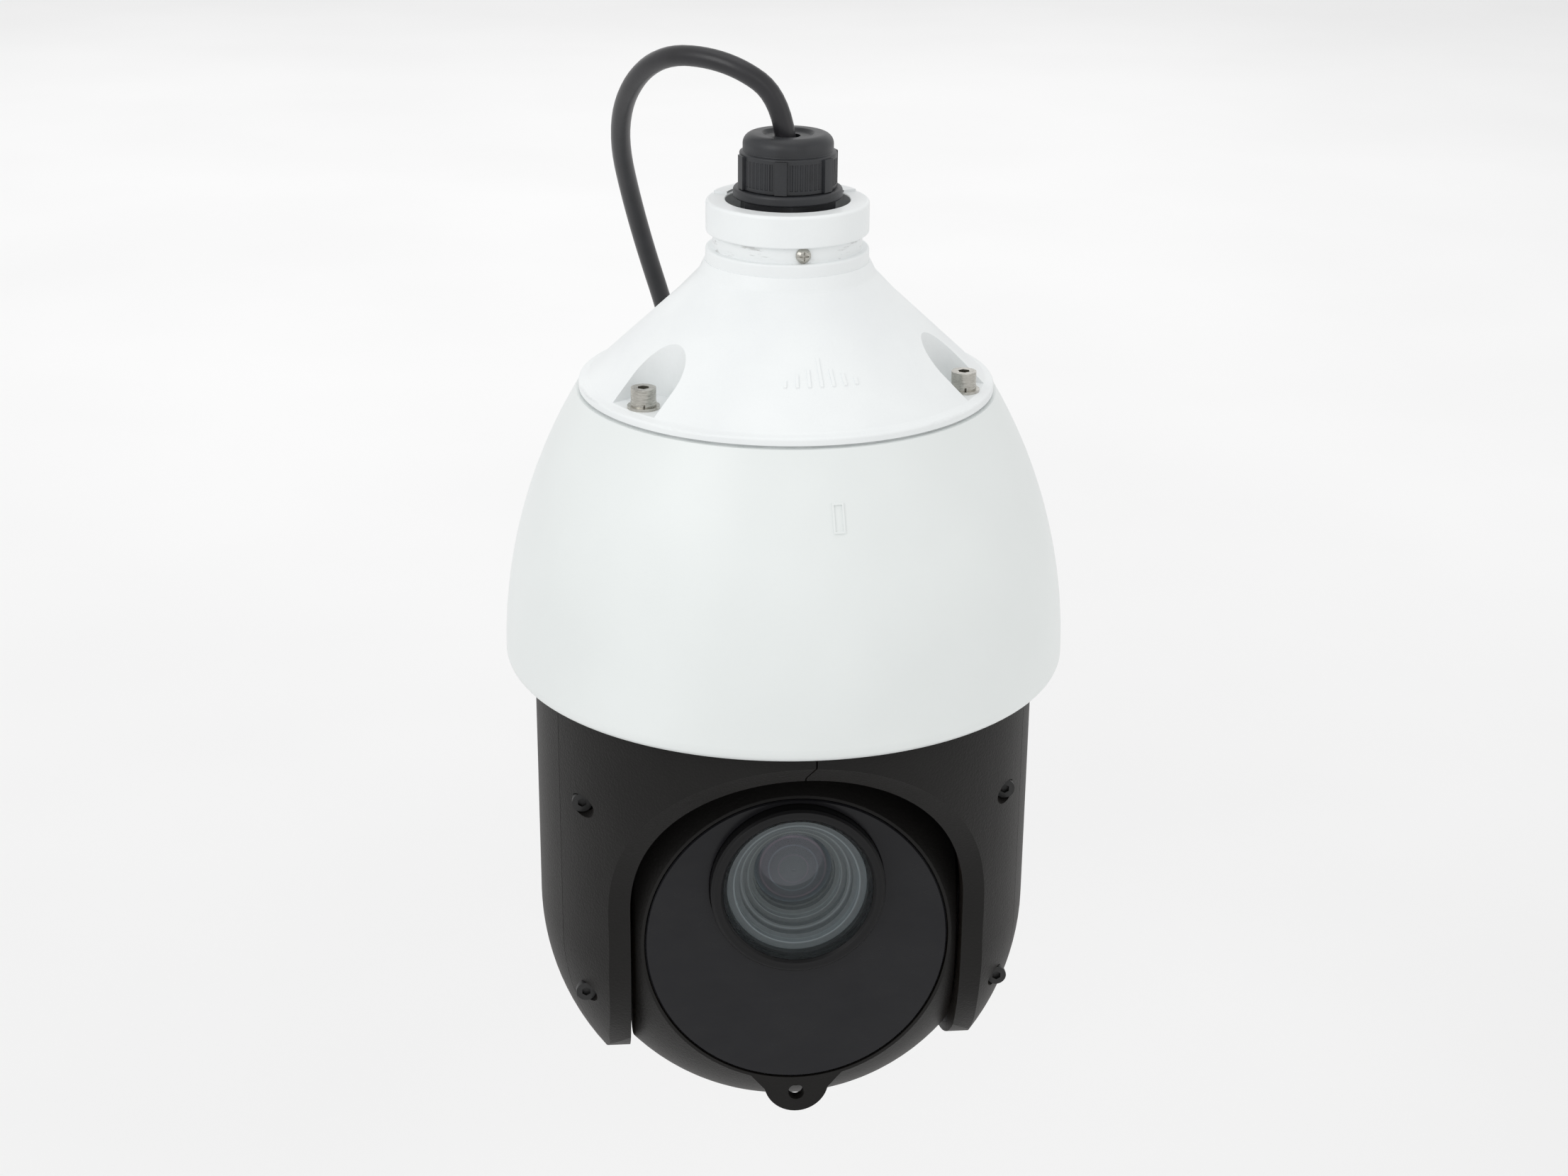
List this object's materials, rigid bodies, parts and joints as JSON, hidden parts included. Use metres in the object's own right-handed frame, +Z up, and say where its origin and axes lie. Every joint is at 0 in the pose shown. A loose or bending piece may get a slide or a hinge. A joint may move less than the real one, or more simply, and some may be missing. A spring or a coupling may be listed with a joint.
{
  "type": "ptz camera",
  "caption": "Outdoor pan, tilt and zoom dome camera: conical cap and bell cover over a yoke that carries a tilting ball with a dark round face and an offset lens.",
  "frame": {"origin": "centre of the mounting collar's top face, on the pan axis", "axes": "+Z up along the pan axis, -Y out of the face with the yoke at rest, +X to the right of someone facing the lens, which is the tilt axis"},
  "size_m": [0.1644, 0.1874, 0.3194],
  "materials": {
    "cast_white": "fine texture powder coat",
    "cover_white": "fine matte",
    "cover_black": "fine spark texture",
    "cast_black": "fine texture powder coat",
    "gland_black": "moulded satin",
    "cable_jacket": "smooth matte",
    "black_rubber": "matte",
    "belt_rubber": "matte",
    "black_felt": "napped",
    "steel": "satin",
    "bearing_steel": "ground",
    "aluminium": "machined",
    "circuit_board": "solder mask",
    "face_black": "dark filter acrylic, glossy",
    "bezel_black": "satin",
    "lens_black": "flat",
    "clear_glass": "polished",
    "coated_glass": "anti-reflection coated"
  },
  "bodies": {
    "head": {"mount_collar": "cast_white", "neck_screw": "steel", "cap": "cast_white", "cap_screws": "steel", "cap_washers": "steel", "collar_nut": "aluminium", "cap_gasket": "black_rubber", "dome_cover": "cover_white", "dust_ring": "black_felt", "chassis_plate": "aluminium", "chassis_screws": "steel", "power_board": "circuit_board", "gland_body": "gland_black", "gland_dome_nut": "gland_black", "gland_seal": "black_rubber", "gland_claw": "gland_black", "gland_locknut": "gland_black", "inner_lead": "cable_jacket", "cable": "cable_jacket", "cable_coil": "cable_jacket", "cable_tie": "gland_black", "cable_tail": "cable_jacket", "network_socket": "gland_black", "bearing_housing": "aluminium", "pan_bearing_outer_races": "bearing_steel", "pan_motor": "aluminium", "pan_belt": "belt_rubber", "slip_ring_stator": "gland_black"},
    "pan_motor_rotor": {"pan_motor_pulley": "aluminium"},
    "yoke": {"pan_hub": "aluminium", "pan_bearing_inner_races": "bearing_steel", "pan_pulley": "aluminium", "slip_ring_rotor": "gland_black", "front_cover_left": "cover_black", "front_cover_right": "cover_black", "rear_cover": "cover_black", "cover_screws": "steel", "yoke_frame": "cast_black", "tilt_bearing_outer_races": "bearing_steel", "tilt_belt": "belt_rubber", "tilt_motor": "aluminium", "main_board": "circuit_board"},
    "tilt_motor_rotor": {"tilt_motor_pulley": "aluminium"},
    "camera_module": {"tilt_bearing_inner_races": "bearing_steel", "tilt_shafts": "bearing_steel", "tilt_pulley": "aluminium", "module_front_shell": "cover_black", "module_rear_shell": "cover_black", "module_seal": "black_rubber", "module_screws": "steel", "front_plate": "face_black", "lens_bezel": "bezel_black", "window": "clear_glass", "lens_barrel": "lens_black", "front_element": "coated_glass", "zoom_housing": "lens_black", "sensor_board": "circuit_board", "infrared_board": "circuit_board"},
    "zoom_carriage": {"zoom_group": "lens_black"},
    "focus_carriage": {"focus_group": "lens_black"}
  },
  "joints": [
    {"name": "pan", "type": "hinge", "parent": "head", "child": "yoke", "pos_m": [0, 0, -0.1], "axis": [0, 0, 1], "continuous": true},
    {"name": "pan_motor_spin", "type": "hinge", "parent": "head", "child": "pan_motor_rotor", "pos_m": [-0.042, 0, -0.1], "axis": [0, 0, 1], "continuous": true},
    {"name": "tilt", "type": "hinge", "parent": "yoke", "child": "camera_module", "pos_m": [0, 0, -0.211], "axis": [1, 0, 0], "range_deg": [-11.3, 93.7]},
    {"name": "tilt_motor_spin", "type": "hinge", "parent": "yoke", "child": "tilt_motor_rotor", "pos_m": [0, 0, -0.166], "axis": [1, 0, 0], "range_deg": [-30, 241.5]},
    {"name": "zoom_slide", "type": "slide", "parent": "camera_module", "child": "zoom_carriage", "axis": [0, 0.9979, -0.0645], "range_m": [0, 0.012]},
    {"name": "focus_slide", "type": "slide", "parent": "camera_module", "child": "focus_carriage", "axis": [0, 0.9979, -0.0645], "range_m": [0, 0.008]}
  ],
  "couplings": [
    {"joint": "pan_motor_spin", "follows": "pan", "ratio": 4},
    {"joint": "tilt_motor_spin", "follows": "tilt", "ratio": 2.5714}
  ]
}
